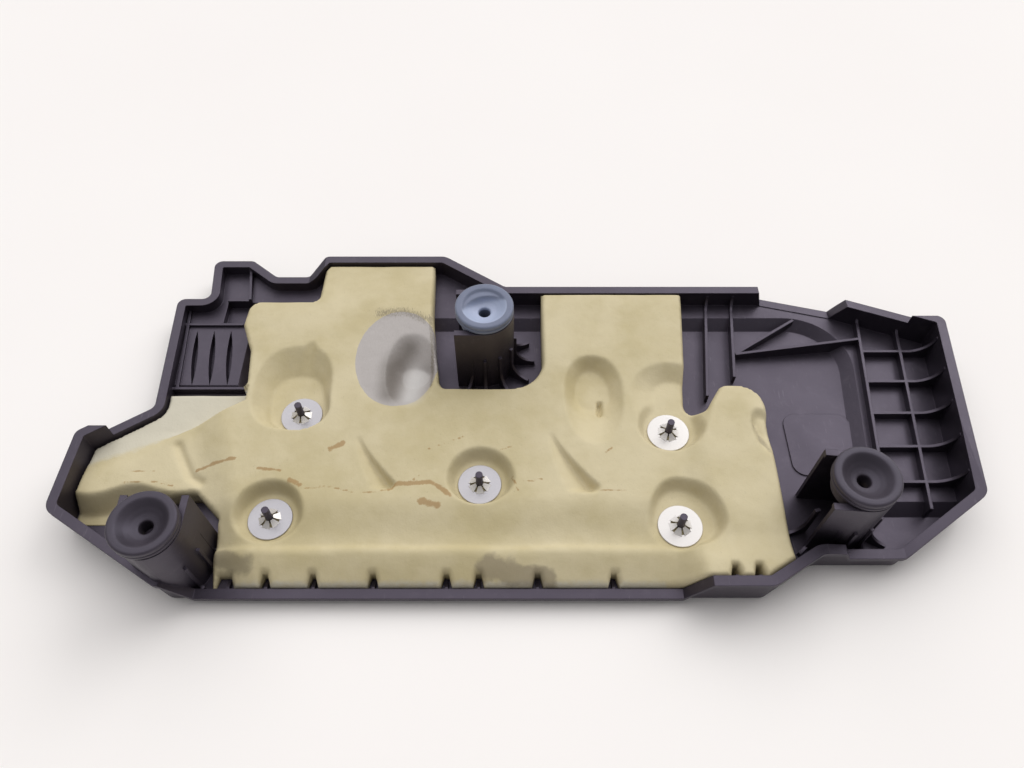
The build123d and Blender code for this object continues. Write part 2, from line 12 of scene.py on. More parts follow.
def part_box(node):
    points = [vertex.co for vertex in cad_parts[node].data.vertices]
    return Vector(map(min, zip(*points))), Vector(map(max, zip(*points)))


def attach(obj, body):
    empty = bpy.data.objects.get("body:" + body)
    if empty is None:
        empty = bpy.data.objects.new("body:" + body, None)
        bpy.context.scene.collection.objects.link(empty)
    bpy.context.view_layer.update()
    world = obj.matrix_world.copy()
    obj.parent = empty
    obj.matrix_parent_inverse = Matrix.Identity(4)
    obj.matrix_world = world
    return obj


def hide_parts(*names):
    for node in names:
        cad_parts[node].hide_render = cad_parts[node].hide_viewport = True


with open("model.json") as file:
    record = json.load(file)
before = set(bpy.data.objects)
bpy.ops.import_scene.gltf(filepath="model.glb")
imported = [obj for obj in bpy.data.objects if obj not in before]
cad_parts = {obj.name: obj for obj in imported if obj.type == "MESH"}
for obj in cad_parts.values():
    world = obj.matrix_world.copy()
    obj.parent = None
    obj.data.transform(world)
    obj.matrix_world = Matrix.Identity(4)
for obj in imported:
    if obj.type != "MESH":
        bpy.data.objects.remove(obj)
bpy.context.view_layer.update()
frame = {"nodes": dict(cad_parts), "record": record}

# Lengths below are in millimetres, in the part's own frame, and become metres through MM.
MM = 0.001
scene = bpy.context.scene
scene.view_settings.view_transform = "Standard"


def linear(red, green, blue):
    """A colour as it looks on a screen, 0 to 255, as the linear values that a shader takes."""
    shares = [value / 255 for value in (red, green, blue)]
    return [s / 12.92 if s <= 0.04045 else ((s + 0.055) / 1.055) ** 2.4 for s in shares] + [1.0]


# Camera, floor and light

CAMERA_PLACE = (-9.3, -255.74, 408.93)
CAMERA_TILT = 34.5
CAMERA_LENS = 27.77
CAMERA_CLIP = 10.0
FLOOR_SIZE = 8000.0
SKY_COLOUR = linear(250, 250, 252)
SKY_STRENGTH = 0.34

# Lamps, far off so that the whole floor is lit alike: name, direction towards it, spread in degrees and
# strength
LAMPS = (
    ("window", (1.0, 0.95, 0.9), 40.0, 0.9),
    ("ceiling", (-0.05, 0.5, 0.87), 80.0, 1.95),
)


def add_camera():
    """The camera at the photograph's viewing angle."""
    camera = bpy.data.objects.new("camera", bpy.data.cameras.new("camera"))
    camera.data.lens = CAMERA_LENS
    camera.data.clip_start = CAMERA_CLIP * MM
    camera.location = Vector(CAMERA_PLACE) * MM
    camera.rotation_euler = (radians(CAMERA_TILT), 0, 0)
    scene.collection.objects.link(camera)
    scene.camera = camera


def add_lamps():
    """Two wide soft lamps and an even sky."""
    for name, direction, spread, strength in LAMPS:
        lamp = bpy.data.objects.new(name, bpy.data.lights.new(name, "SUN"))
        lamp.data.angle = radians(spread)
        lamp.data.energy = strength
        lamp.location = direction
        lamp.rotation_euler = (-Vector(direction)).to_track_quat("-Z", "Y").to_euler()
        scene.collection.objects.link(lamp)
    world = bpy.data.worlds.new("sky")
    world.use_nodes = True
    background = world.node_tree.nodes["Background"]
    background.inputs["Color"].default_value = SKY_COLOUR
    background.inputs["Strength"].default_value = SKY_STRENGTH
    scene.world = world


def add_floor(finish):
    """A plain floor, which is no piece of the part."""
    half = FLOOR_SIZE / 2 * MM
    mesh = bpy.data.meshes.new("floor")
    corners = [(-half, -half, 0), (half, -half, 0), (half, half, 0), (-half, half, 0)]
    mesh.from_pydata(corners, [], [(0, 1, 2, 3)])
    mesh.materials.append(finish)
    floor = bpy.data.objects.new("floor", mesh)
    scene.collection.objects.link(floor)


# Materials: a short way to write node trees, then one function for each finish

# Levels between which a stain comes in, and values between which most of a noise pattern lies
STAIN_EDGE = (0.35, 0.65)
NOISE_RANGE = (0.3, 0.7)
BEVEL_SAMPLES = 4


class Finish:
    """A material with a Principled shader, and helpers that add nodes to its tree."""

    def __init__(self, name):
        self.material = bpy.data.materials.new(name)
        self.material.use_nodes = True
        self.tree = self.material.node_tree
        self.shader = self.tree.nodes["Principled BSDF"]
        self.place = self.tree.nodes.new("ShaderNodeTexCoord").outputs["Object"]

    def put(self, socket, value):
        """Links a node's output to a socket, or sets the socket's own value."""
        if isinstance(value, bpy.types.NodeSocket):
            self.tree.links.new(value, socket)
        else:
            socket.default_value = value

    def noise(self, size, detail=3.0, roughness=0.55, stretch=None):
        """A noise pattern with features of about the given size in millimetres."""
        node = self.tree.nodes.new("ShaderNodeTexNoise")
        where = self.place
        if stretch:
            mapping = self.tree.nodes.new("ShaderNodeMapping")
            mapping.inputs["Scale"].default_value = stretch
            self.put(mapping.inputs["Vector"], where)
            where = mapping.outputs["Vector"]
        self.put(node.inputs["Vector"], where)
        node.inputs["Scale"].default_value = 1 / (size * MM)
        node.inputs["Detail"].default_value = detail
        node.inputs["Roughness"].default_value = roughness
        return node.outputs["Fac"]

    def painted(self, name):
        """A value stored on the mesh."""
        node = self.tree.nodes.new("ShaderNodeAttribute")
        node.attribute_name = name
        return node.outputs["Fac"]

    def arithmetic(self, operation, *values):
        """One step of arithmetic."""
        node = self.tree.nodes.new("ShaderNodeMath")
        node.operation = operation
        for socket, value in zip(node.inputs, values):
            self.put(socket, value)
        return node.outputs["Value"]

    def between(self, value, low, high, start=0.0, end=1.0):
        """A value moved smoothly from one range to another and held at its ends."""
        node = self.tree.nodes.new("ShaderNodeMapRange")
        node.interpolation_type = "SMOOTHSTEP"
        for name, given in (("From Min", low), ("From Max", high), ("To Min", start), ("To Max", end)):
            self.put(node.inputs[name], given)
        self.put(node.inputs["Value"], value)
        return node.outputs["Result"]

    def mix(self, share, first, second):
        """A blend of two colours."""
        node = self.tree.nodes.new("ShaderNodeMix")
        node.data_type = "RGBA"
        self.put(node.inputs["Factor"], share)
        colours = [s for s in node.inputs if s.type == "RGBA"]
        self.put(colours[0], first)
        self.put(colours[1], second)
        return [s for s in node.outputs if s.type == "RGBA"][0]

    def stain(self, colour, level, ragged, tone, share):
        """A colour with a stain over it, where a level broken up by a ragged pattern is high."""
        broken = self.arithmetic("ADD", level, ragged)
        return self.mix(self.between(broken, *STAIN_EDGE, 0.0, share), colour, tone)

    def bump(self, height, depth, normal=None):
        """A surface normal bent by a height pattern of the given depth in millimetres."""
        node = self.tree.nodes.new("ShaderNodeBump")
        node.inputs["Distance"].default_value = depth * MM
        self.put(node.inputs["Height"], height)
        if normal:
            self.put(node.inputs["Normal"], normal)
        return node.outputs["Normal"]

    def rounded(self, radius):
        """A surface normal that rounds sharp edges by a radius in millimetres."""
        node = self.tree.nodes.new("ShaderNodeBevel")
        node.samples = BEVEL_SAMPLES
        node.inputs["Radius"].default_value = radius * MM
        return node.outputs["Normal"]

    def done(self, **inputs):
        """Sets the shader's inputs and gives the material."""
        for name, value in inputs.items():
            self.put(self.shader.inputs[name.replace("_", " ").title()], value)
        return self.material


def floor_finish():
    """Matt pale paper with faint clouds."""
    finish = Finish("floor_paper")
    cloud = finish.noise(260, detail=2.0)
    colour = finish.mix(cloud, linear(246, 241, 238), linear(250, 246, 243))
    return finish.done(base_color=colour, roughness=0.9)


def plastic_finish():
    """Moulded black plastic with a fine grain and a soft sheen, dull scuffs and dust in patches."""
    finish = Finish("moulded_plastic")
    patches = finish.noise(38, detail=4.0)
    colour = finish.mix(patches, linear(22, 19, 24), linear(33, 29, 36))
    dust = finish.between(finish.noise(9, detail=6.0, roughness=0.7), 0.52, 0.72, 0.0, 0.12)
    colour = finish.mix(dust, colour, linear(96, 90, 96))
    streaks = finish.noise(1.6, detail=4.0, stretch=(1.0, 0.12, 1.0))
    scuff = finish.between(streaks, 0.64, 0.74, 0.0, 0.15)
    colour = finish.mix(scuff, colour, linear(128, 124, 128))
    grain = finish.noise(0.5, detail=2.0)
    waves = finish.noise(14, detail=2.0)
    normal = finish.bump(waves, 0.2, finish.bump(grain, 0.05, finish.rounded(0.6)))
    rough = finish.between(patches, *NOISE_RANGE, 0.4, 0.5)
    finish.put(finish.shader.inputs["Specular IOR Level"], 0.9)
    finish.put(finish.shader.inputs["Specular Tint"], linear(236, 222, 248))
    return finish.done(base_color=colour, roughness=rough, normal=normal)


def foam_finish():
    """Skinned foam: buff, with paler, worn, stained and scratched places painted on the mesh, and
    painted shade and a painted highlight marked there too.
    """
    finish = Finish("skinned_foam")
    cloud = finish.between(finish.noise(45, detail=5.0, roughness=0.6), *NOISE_RANGE)
    colour = finish.mix(cloud, linear(189, 175, 134), linear(206, 193, 158))
    speck = finish.between(finish.noise(1.4, detail=5.0, roughness=0.7), 0.55, 0.8, 0.0, 0.2)
    colour = finish.mix(speck, colour, linear(160, 144, 108))
    broken = finish.noise(4.5, detail=6.0, roughness=0.7)
    blotch = finish.noise(11, detail=4.0, roughness=0.6)
    fibres = finish.noise(0.8, detail=3.0, stretch=(3.0, 0.4, 1.0))

    def ragged(pattern, reach):
        """A pattern as an offset to both sides of 0, which breaks up the edge of a stain."""
        return finish.arithmetic("MULTIPLY", finish.arithmetic("SUBTRACT", pattern, 0.5), reach)

    pale = linear(202, 196, 179)
    colour = finish.stain(colour, finish.painted("pale"), ragged(broken, 0.5), pale, 0.9)
    bald = finish.arithmetic("ADD", finish.painted("bald"), ragged(broken, 0.25))
    bald = finish.between(bald, 0.46, 0.54)
    worn = finish.mix(fibres, linear(160, 152, 147), linear(182, 176, 173))
    colour = finish.mix(bald, colour, worn)
    # Painted highlight on the bald hollow's floor and painted shade on its left wall
    painted_light = (
        ("painted_highlight", 0.7, linear(208, 205, 202)),
        ("painted_shade", 0.8, linear(104, 96, 88)),
    )
    for place, share, tone in painted_light:
        cover = finish.arithmetic("MULTIPLY", finish.painted(place), share)
        colour = finish.mix(cover, colour, tone)
    stains = (
        ("torn", ragged(fibres, 2.2), linear(116, 106, 88), 0.65),
        ("smear", ragged(blotch, 1.0), linear(132, 120, 100), 0.65),
        # This stain is grime by the left post and painted shade along the lobe's groove
        ("grime_and_shade", ragged(blotch, 1.0), linear(104, 94, 78), 0.5),
        ("scratch", ragged(broken, 1.6), linear(146, 102, 38), 0.62),
    )
    for place, edge, tone, share in stains:
        colour = finish.stain(colour, finish.painted(place), edge, tone, share)
    pores = finish.noise(0.7, detail=3.0)
    ripple = finish.noise(5.0, detail=4.0)
    normal = finish.bump(ripple, 0.25, finish.bump(pores, 0.06))
    rough = finish.between(bald, 0.0, 1.0, 0.68, 0.42)
    return finish.done(base_color=colour, roughness=rough, normal=normal)


def rubber_finish(name, tint, bloom, mouth_highlight):
    """Rubber with a greyish bloom in patches, and a painted highlight of another colour in the funnel's
    opening, where the mesh says so.
    """
    finish = Finish(name)
    patches = finish.noise(16, detail=3.0)
    colour = finish.mix(patches, tint, bloom)
    # Painted highlight in the funnel's opening
    colour = finish.mix(finish.painted("mouth_highlight"), colour, mouth_highlight)
    normal = finish.bump(finish.noise(0.6, detail=3.0), 0.06)
    rough = finish.between(patches, *NOISE_RANGE, 0.42, 0.5)
    finish.put(finish.shader.inputs["Specular Tint"], linear(232, 226, 250))
    return finish.done(base_color=colour, roughness=rough, normal=normal)


def zinc_finish():
    """Satin plated spring steel with faint rolling marks, and a painted reflection in a brighter colour
    where the mesh says so.
    """
    finish = Finish("plated_spring_steel")
    marks = finish.noise(2.0, detail=5.0, stretch=(1.0, 8.0, 1.0))
    dull = finish.mix(marks, linear(160, 158, 164), linear(186, 183, 187))
    painted_reflection = finish.mix(marks, linear(198, 194, 192), linear(214, 210, 207))
    # The brighter colour is a painted reflection, where the mesh marks it
    colour = finish.mix(finish.painted("painted_reflection"), dull, painted_reflection)
    rough = finish.between(marks, *NOISE_RANGE, 0.32, 0.44)
    return finish.done(base_color=colour, metallic=0.5, roughness=rough)


# Pieces: helpers that put a mesh in the scene, then one section for each piece


def add_piece(name, points, faces, finish, slot, *nodes):
    """A smooth mesh from points in millimetres, standing for CAD nodes and riding on the part."""
    mesh = bpy.data.meshes.new(name)
    mesh.from_pydata([Vector(p) * MM for p in points], [], faces)
    mesh.shade_smooth()
    mesh.materials.append(finish)
    piece = bpy.data.objects.new(name, mesh)
    scene.collection.objects.link(piece)
    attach(piece, "root")
    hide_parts(*nodes)
    return piece


def store(mesh, name, values):
    """Paints one value on each point of a mesh, for its material to read."""
    layer = mesh.attributes.new(name, "FLOAT", "POINT")
    layer.data.foreach_set("value", values)


# Banks: length that is rounded at each end, and the least and the largest share of a bank that it takes
BANK_ROUND = 1.8
BANK_BENDS = (0.05, 0.45)

# Added to a divisor that may be 0
TINY = 1e-9


def smooth(low, high, value):
    """0 at low, 1 at high and an S curve between them."""
    share = np.clip((value - low) / (high - low), 0, 1)
    return share * share * (3 - 2 * share)


def bank(distance, width):
    """0 at distance 0, 1 at the width, and a straight slope between them with rounded ends."""
    share = np.clip(distance / width, 0, 1)
    bend = np.clip(BANK_ROUND / width, *BANK_BENDS)
    slope = 1 / (1 - bend)
    foot = slope * share**2 / (2 * bend)
    brow = 1 - slope * (1 - share) ** 2 / (2 * bend)
    middle = slope * (share - bend / 2)
    return np.where(share < bend, foot, np.where(share > 1 - bend, brow, middle))


def distance_to(path, x, y):
    """Distance of points from a line of straight runs."""
    best = np.full(x.shape, np.inf)
    for (ax, ay), (bx, by) in zip(path, path[1:]):
        run_x, run_y = bx - ax, by - ay
        along = ((x - ax) * run_x + (y - ay) * run_y) / (run_x**2 + run_y**2)
        along = np.clip(along, 0, 1)
        best = np.minimum(best, np.hypot(x - ax - along * run_x, y - ay - along * run_y))
    return best


# Foam: the form of its top

PLATEAU = 22.0

# Far and near side: where a fall or rise starts and ends along Y, and its size
FAR_FALL = (60.0, 115.5, 4.0)
NEAR_ROLL = (-63.0, -88.5, 5.6)
NEAR_RIDGE = (-89.0, -92.5, 1.5)
BULGE_RISE = (-84.0, -104.0, 3.5)

# Where the bulge at the right begins, along X
BULGE_X = (76.0, 92.0)

# Slope along the rest of the near edge: start, end, height at its foot, and how it bends
NEAR_SLOPE = (-94.0, -109.4, 10.0)
NEAR_SLOPE_BEND = 1.2

# Waves in the near edge and in the skin: height, size and seed. Those in the skin start at the nuts'
# seats and are full at a distance from them
NEAR_WAVE = (1.3, 50.0, 7.0)
SKIN_WAVES = ((0.4, 24.0, 1.0), (0.15, 8.0, 4.0))
SKIN_WAVE_START = 5.0

# Left arm: height, right end along X at a given Y, and how far that end slants
ARM_TOP = 16.5
ARM_X = (-190.0, -164.0)
ARM_SLANT = 0.35
ARM_SLANT_Y = -40.0

# Its far shelf: height, near edge, limits in X and Y, half width of the step at its right and left, and
# where that changes along X
SHELF_TOP = 13.0
SHELF_EDGE = ((-262.0, -46.0), (-204.0, -21.3), (-185.0, -10.8), (-166.0, 0.5))
SHELF_END = (-166.0, 9.6)
SHELF_BLEND = (1.6, 14.0)
SHELF_FADE = (-226.0, -198.0)

# The scoop beside its post: edge, shifts over which that is averaged, width of the bank, height of its
# foot and right end along X
SCOOP_EDGE = ((-262, -55), (-240, -59), (-231, -55), (-218, -51), (-206, -55), (-194, -58))
SCOOP_SHIFTS = (-6.0, -3.0, 0.0, 3.0, 6.0)
SCOOP_FALL = 10.0
SCOOP_FOOT = 3.0
SCOOP_X = (-202.0, -192.0)

# Dishes round the nuts: pin, height of the seat, and reach to the right, far, left and near side
NUT_DISHES = (
    ((-133.8, -6.0), 12.0, (19.0, 22.0, 21.0, 15.5)),
    ((-140.8, -73.0), 13.0, (20.0, 20.5, 20.3, 15.5)),
    ((-27.3, -52.5), 14.0, (20.4, 20.4, 19.0, 15.5)),
    ((81.2, -19.5), 15.0, (21.0, 22.0, 19.0, 16.0)),
    ((81.2, -78.0), 15.0, (24.6, 26.8, 18.5, 15.5)),
)

# Flat under each nut, room left below the nut, and width of the dish's bank
SEAT_RADIUS = 12.6
SEAT_GAP = 0.15
DISH_BANK = 6.0

# Hollows: centre, reach of the rim and of the floor to the right, far, left and near side, depth and
# squareness
HOLLOWS = (
    ((-138.0, 6.0), (22.5, 33.5, 26.0, 27.5), (14.0, 15.0, 14.0, 20.0), 10.0, 2.5),
    ((38.5, 6.0), (19.0, 26.0, 18.0, 38.0), (9.5, 18.5, 9.0, 8.0), 8.5, 2.2),
    ((85.0, 6.0), (24.0, 21.0, 25.0, 40.0), (12.0, 9.0, 9.0, 26.0), 7.0, 2.0),
    ((-71.0, 22.0), (17.0, 29.0, 16.5, 29.0), (11.0, 5.0, 4.0, 8.0), 10.0, 2.2),
    ((133.0, -18.0), (9.0, 10.5, 6.5, 21.0), (5.0, 4.0, 2.0, 7.0), 3.6, 2.0),
)

# Sharp corner in the first hollow's rim: that hollow's centre, angle in degrees, size, width in radians
BOWL_CUSP = (HOLLOWS[0][0], 80.4, 4.5, 0.09)

# Creases: the valley's shallow and deep ends, its depth, and the widths of its two banks at the deep end
CREASES = (
    ((-96.6, -26.0), (-77.0, -55.0), 6.0, 10.0, 2.5),
    ((13.0, -23.6), (33.5, -57.0), 6.5, 13.0, 4.5),
)

# Width of their banks at the shallow end, length of the deep end, and the powers by which the line bends
# and the valley deepens
CREASE_BANK = 2.0
CREASE_END = 5.0
CREASE_BEND = 1.25
CREASE_DEEPENING = 0.8

# Lobe at the right: centre, reach and rise, and the shares of the reach between which it falls
LOBE = ((118.0, -40.0), (34.0, 66.0), 3.2)
LOBE_BANK = (0.5, 1.0)

# Soft grooves: line, depth and half width
ARM_CREASE = (((-200.5, -28.7), (-194.2, -39.7), (-188.8, -48.6), (-182.4, -52.3)), 2.2, 2.4)
LOBE_GROOVE = (((129.5, -19.0), (131.8, -28.3), (135.0, -37.0)), 0.8, 2.5)

# Slit in the oval hollow: line, depth, and where its bank starts and ends off the line
SLIT = ((42.9, 1.5), (42.2, -7.0))
SLIT_DEPTH = 4.0
SLIT_BANK = (0.6, 2.0)

# Bald patch: centre and reach, depth, and width of the band at its edge
BALD_PATCH = ((-79.0, 30.5), (25.5, 35.5))
BALD_DEPTH = 0.6
BALD_BAND = 4.0

# Worn and dirty places on the foam, and painted shade and a painted highlight: line, level on it, and
# distance over which the level falls by 1
BALD_TEAR = (((-93.0, 65.0), (-77.0, 66.0), (-64.0, 60.0)), 0.7, 9.0)
BALD_CRACK = (((-61.0, 62.0), (-58.0, 34.0), (-57.6, 10.0)), 1.0, 1.6)
SMEAR = (((-23.0, -101.0), (9.0, -107.0)), 0.95, 11.0)
GRIME = (((-163.0, -96.0), (-151.0, -99.0)), 0.8, 14.0)
# Painted shade along the lobe's groove, carried by the grime stain
GROOVE_PAINTED_SHADE = (LOBE_GROOVE[0], 0.6, 8.0)
# Painted shade on the left wall of the bald hollow, and a painted highlight on its floor
DIMPLE_PAINTED_SHADE = (((-82.0, 4.0), (-82.0, 24.0), (-73.0, 40.0)), 1.0, 11.0)
DIMPLE_PAINTED_HIGHLIGHT = (((-70.0, 4.0), (-68.0, 22.0)), 1.0, 12.0)
FRAYED_EDGE = (((-162.0, -109.0), (70.0, -109.0)), 0.6, 12.0)

# Scratches: half width and line. The level on the line grows with the half width, up to a limit, and
# falls by 1 over a multiple of it
SCRATCH_LEVEL = 0.5
SCRATCH_GAIN = 0.4
SCRATCH_MOST = 1.0
SCRATCH_REACH = 1.9
SCRATCHES = (
    (1.1, ((-186.3, -45.0), (-176.4, -41.9), (-164.0, -39.9))),
    (1.0, ((-150.0, -46.3), (-137.6, -47.5))),
    (1.3, ((-76.8, -59.0), (-71.8, -56.0), (-53.9, -54.9), (-48.4, -58.4), (-43.5, -62.5))),
    (0.7, ((-66.7, -56.0), (-59.5, -50.0))),
    (1.8, ((-58.4, -66.4), (-49.1, -68.2))),
    (1.6, ((-111.7, -34.2), (-105.4, -30.3))),
    (0.8, ((-16.0, -34.8), (-9.3, -32.2))),
    (0.9, ((-9.3, -50.6), (-6.0, -59.8))),
    (0.6, ((-4.9, -54.9), (7.2, -53.1))),
    (0.6, ((-58.2, -34.8), (-37.1, -26.3))),
    (0.6, ((33.1, -60.4), (58.8, -59.2))),
    (1.5, ((-131.1, -53.7), (-125.1, -56.8))),
    (0.8, ((43.4, -36.1), (47.0, -33.5))),
    (0.7, ((-122.7, -58.6), (-107.5, -58.0), (-94.0, -61.6), (-81.1, -60.4), (-66.3, -54.9))),
    (0.6, ((-224.2, -45.5), (-208.7, -44.8))),
    (0.7, ((-225.7, -52.6), (-211.1, -51.3), (-197.0, -54.5))),
)


def uneven(x, y, size, seed):
    """Gentle waves of a given size, from -1 to 1, the same on each run."""
    return np.array([noise.noise(Vector((a / size, b / size, seed))) for a, b in zip(x, y)])


def groove(line, x, y):
    """Drop of a soft groove along a line."""
    path, depth, width = line
    return depth * np.exp(-((distance_to(path, x, y) / width) ** 2))


def level_near(line, x, y):
    """Level of a painted place: what it has on its line, and less away from it."""
    path, level, reach = line
    return level - distance_to(path, x, y) / reach


def to_rim(x, y, centre, reaches, square=2.0):
    """Distance from a centre, and how far off the rim lies that way, with a reach for each side."""
    right, far, left, near = reaches
    dx, dy = x - centre[0], y - centre[1]
    radius = np.hypot(dx, dy) + TINY
    share_x = np.abs(dx) / np.where(dx > 0, right, left)
    share_y = np.abs(dy) / np.where(dy > 0, far, near)
    return radius, radius / ((share_x**square + share_y**square) ** (1 / square) + TINY)


def cusp(x, y):
    """How far a hollow's rim is pulled out into a sharp corner."""
    centre, angle, size, width = BOWL_CUSP
    turn = np.arctan2(y - centre[1], x - centre[0]) - radians(angle)
    return size * np.exp(-((turn / width) ** 2))


def fall(limits, value):
    """A drop of a given size that grows smoothly between two places."""
    start, end, size = limits
    return size * smooth(start, end, value)


def near_side(x, y):
    """Change of height along the near edge: a roll, a ridge and a slope, or the bulge at the right."""
    height, size, seed = NEAR_WAVE
    y = y + height * uneven(x, np.zeros(len(x)), size, seed)
    slope_start, slope_end, slope_top = NEAR_SLOPE
    share = np.clip((slope_start - y) / (slope_start - slope_end), 0, 1)
    ridge_top = PLATEAU - NEAR_ROLL[2] + NEAR_RIDGE[2]
    low = fall(NEAR_RIDGE, y) - fall(NEAR_ROLL, y) - share**NEAR_SLOPE_BEND * (ridge_top - slope_top)
    bulge = smooth(*BULGE_X, x)
    return low * (1 - bulge) + fall(BULGE_RISE, y) * bulge


def shelf_share(x, y):
    """How far points belong to the far shelf of the left arm, with a step that fades out to the left."""
    edge_y = np.interp(x, *zip(*SHELF_EDGE))
    spread = SHELF_BLEND[0] + (SHELF_BLEND[1] - SHELF_BLEND[0]) * (1 - smooth(*SHELF_FADE, x))
    inside = (x < SHELF_END[0]) & (y < SHELF_END[1])
    return smooth(edge_y - spread, edge_y + spread, y) * inside


def left_arm(top, x, y):
    """The low arm at the left with its far shelf, a crease and the scoop beside the post."""
    arm = 1 - smooth(*ARM_X, x + ARM_SLANT * (y - ARM_SLANT_Y))
    top = top + (ARM_TOP - PLATEAU) * arm
    top = top + (SHELF_TOP - top) * shelf_share(x, y)
    scoop_y = np.mean([np.interp(x + shift, *zip(*SCOOP_EDGE)) for shift in SCOOP_SHIFTS], axis=0)
    scoop = bank(scoop_y - y, SCOOP_FALL) * (1 - smooth(*SCOOP_X, x))
    top = top + (SCOOP_FOOT - top) * scoop
    return top - groove(ARM_CREASE, x, y)


def bald_level(x, y):
    """0.5 on the edge of the bald patch, and more inside it, within a narrow band."""
    (bald_x, bald_y), (reach_x, reach_y) = BALD_PATCH
    share = np.hypot((x - bald_x) / reach_x, (y - bald_y) / reach_y)
    return np.clip(0.5 + (1 - share) * reach_x / BALD_BAND, 0, 1)


def crease(x, y, start, end, depth, left_width, right_width):
    """Drop of a valley that deepens along its line, with a broad left bank and a steep right one."""
    share = (start[1] - y) / (start[1] - end[1])
    run = np.clip(share, 0, 1)
    line = start[0] + (end[0] - start[0]) * run**CREASE_BEND
    left = 1 - bank(line - x, CREASE_BANK + left_width * run)
    right = 1 - bank(x - line, CREASE_BANK + right_width * run**2)
    closed = 1 - smooth(end[1], end[1] - CREASE_END, y)
    return depth * run**CREASE_DEEPENING * np.where(x < line, left, right) * closed


def foam_top(x, y):
    """Height of the foam's top, feature by feature."""
    top = PLATEAU - fall(FAR_FALL, y) + near_side(x, y)
    centre, (reach_x, reach_y), rise = LOBE
    lobe = np.hypot((x - centre[0]) / reach_x, (y - centre[1]) / reach_y)
    top = top + rise * (1 - smooth(*LOBE_BANK, lobe))
    top = top - groove(LOBE_GROOVE, x, y)
    top = left_arm(top, x, y)
    for line in CREASES:
        top = top - crease(x, y, *line)
    drop = BALD_DEPTH * bald_level(x, y)
    for centre, reaches, floors, depth, square in HOLLOWS:
        radius, rim = to_rim(x, y, centre, reaches, square)
        floor = to_rim(x, y, centre, floors, square)[1]
        if centre == BOWL_CUSP[0]:
            rim = rim + cusp(x, y)
        drop = np.maximum(drop, depth * (1 - bank(radius - floor, rim - floor)))
    top = top - drop
    away = np.full(x.shape, np.inf)
    for centre, seat, reaches in NUT_DISHES:
        radius, rim = to_rim(x, y, centre, reaches)
        floor = np.maximum(rim - DISH_BANK, SEAT_RADIUS)
        seat_top = seat - SEAT_GAP
        top = seat_top + (top - seat_top) * bank(radius - floor, rim - floor)
        away = np.minimum(away, radius)
    top = top - SLIT_DEPTH * (1 - smooth(*SLIT_BANK, distance_to(SLIT, x, y)))
    waves = sum(height * uneven(x, y, size, seed) for height, size, seed in SKIN_WAVES)
    return top + waves * smooth(SEAT_RADIUS, SEAT_RADIUS + SKIN_WAVE_START, away)


# Foam: its outline, mesh and painted places

# Spacing of the mesh, radius of its edge, rows down its sides, room left along the outline, and least
# thickness
GRID = 1.3
EDGE_ROUND = 2.4
SKIRT_STEPS = 4
KEEP_OFF = 0.8
LEAST_THICKNESS = 0.4

# Largest tilt of an upright face's normal, and distances below which the solid's corners and the plan's
# points are the same
UPRIGHT = 0.1
SAME_CORNER = 0.001
SAME_POINT = 1e-6

# Shifts of the outline: limits along X, where the shift starts and is full along Y, and its size along X
TRIMS = (
    ((-60.0, -45.0), (11.0, 16.0), -6.0),
    ((-172.0, -160.0), (-68.0, -80.0), -4.0),
)


def trimmed(x, y):
    """A point of the outline, moved where the foam's edge runs along the rear and left posts."""
    for (left, right), limits, shift in TRIMS:
        if left < x < right:
            x = x + shift * float(smooth(*limits, y))
    return (x, y)


def foam_outline():
    """Plan of the foam's foot, anticlockwise, walked along the outside of its solid's lower edges."""
    solid = bmesh.new()
    solid.from_mesh(frame["nodes"]["foam_pad"].data)
    bmesh.ops.remove_doubles(solid, verts=solid.verts, dist=SAME_CORNER * MM)
    solid.normal_update()
    beside = {}
    for edge in solid.edges:
        tilts = sorted(face.normal.z for face in edge.link_faces)
        ends = [(round(v.co.x / MM, 3), round(v.co.y / MM, 3)) for v in edge.verts]
        corner = len(tilts) == 2 and tilts[0] < -UPRIGHT and abs(tilts[1]) < UPRIGHT
        if corner and ends[0] != ends[1]:
            beside.setdefault(ends[0], set()).add(ends[1])
            beside.setdefault(ends[1], set()).add(ends[0])
    solid.free()

    def heading(here, there):
        return np.arctan2(there[1] - here[1], there[0] - here[0])

    start = min(beside)
    walk, before, here = [start], (start[0] - 1, start[1]), start
    while len(walk) <= len(beside):
        back = heading(here, before)
        ways = [(heading(here, end) - back) % (2 * pi) for end in beside[here]]
        turns = sorted(zip(ways, beside[here]))
        before, here = here, next(end for turn, end in turns if end != before)
        if here == start:
            break
        walk.append(here)
    return [trimmed(*point) for point in walk]


def spread_points(outline, step):
    """The points of a closed outline or profile, with more added along long runs."""
    points = []
    for (ax, ay), (bx, by) in zip(outline, outline[1:] + outline[:1]):
        pieces = max(1, round(np.hypot(bx - ax, by - ay) / step))
        points += [(ax + (bx - ax) * i / pieces, ay + (by - ay) * i / pieces) for i in range(pieces)]
    return points


def inside_outline(outline, x, y):
    """Which points lie inside a closed outline."""
    inside = np.zeros(x.shape, bool)
    for (ax, ay), (bx, by) in zip(outline, outline[1:] + outline[:1]):
        if ay != by:
            inside ^= ((ay > y) != (by > y)) & (x < (bx - ax) * (y - ay) / (by - ay) + ax)
    return inside


